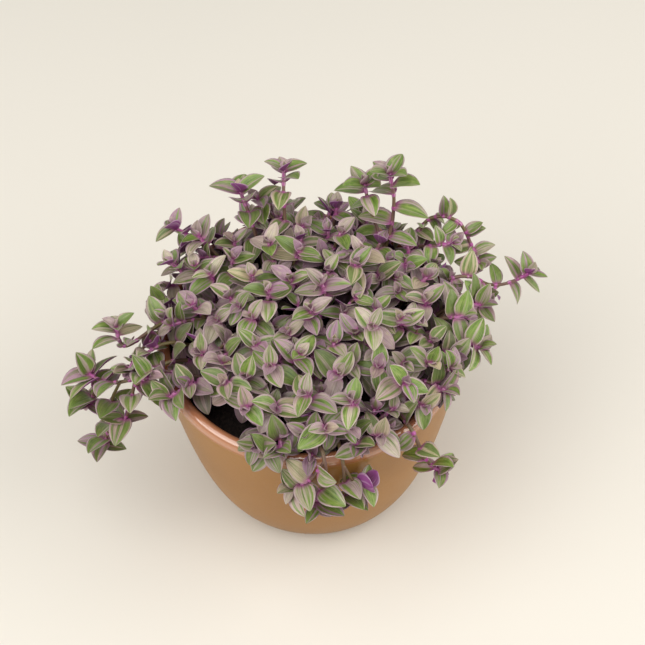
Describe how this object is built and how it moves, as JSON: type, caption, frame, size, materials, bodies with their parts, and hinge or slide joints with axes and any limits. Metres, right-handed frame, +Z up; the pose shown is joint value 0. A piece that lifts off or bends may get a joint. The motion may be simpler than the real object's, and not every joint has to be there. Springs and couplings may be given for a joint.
{
  "type": "potted turtle vine",
  "caption": "Potted turtle vine: small creeping stems with folded, striped ovate leaves mound over a glazed terracotta bowl of soil and trail over its rim.",
  "frame": {"origin": "middle of the bowl's flat underside", "axes": "+Z up through the middle of the bowl; -Y is the front, where two shoots hang over the rim; +X is to the right"},
  "size_m": [0.2361, 0.1715, 0.1756],
  "materials": {
    "glaze": "gloss",
    "soil": "matte",
    "leaf": "satin"
  },
  "bodies": {
    "root": {"bowl": "glaze", "soil": "soil", "stem_back": "leaf", "stem_back_edge": "leaf", "stem_back_left": "leaf", "stem_back_left_low": "leaf", "stem_back_right": "leaf", "stem_back_right_arch": "leaf", "stem_back_right_edge": "leaf", "stem_front_hanging": "leaf", "stem_front_left_edge": "leaf", "stem_front_right_edge": "leaf", "stem_front_right_hanging": "leaf", "stem_left_edge": "leaf", "stem_left_front": "leaf", "stem_left_high": "leaf", "stem_left_low": "leaf", "stem_mound_01": "leaf", "stem_mound_02": "leaf", "stem_mound_03": "leaf", "stem_mound_04": "leaf", "stem_mound_05": "leaf", "stem_mound_06": "leaf", "stem_mound_08": "leaf", "stem_mound_09": "leaf", "stem_mound_10": "leaf", "stem_mound_11": "leaf", "stem_mound_12": "leaf", "stem_mound_13": "leaf", "stem_mound_14": "leaf", "stem_mound_15": "leaf", "stem_mound_16": "leaf", "stem_mound_17": "leaf", "stem_mound_18": "leaf", "stem_mound_19": "leaf", "stem_mound_20": "leaf", "stem_mound_21": "leaf", "stem_mound_22": "leaf", "stem_mound_23": "leaf", "stem_mound_24": "leaf", "stem_mound_25": "leaf", "stem_mound_26": "leaf", "stem_mound_27": "leaf", "stem_mound_28": "leaf", "stem_mound_29": "leaf", "stem_mound_30": "leaf", "stem_mound_31": "leaf", "stem_mound_32": "leaf", "stem_mound_33": "leaf", "stem_mound_34": "leaf", "stem_right": "leaf", "stem_right_edge": "leaf", "stem_right_far": "leaf", "stem_right_front_edge": "leaf", "stem_right_front_hanging": "leaf", "stem_right_low": "leaf"}
  },
  "joints": []
}
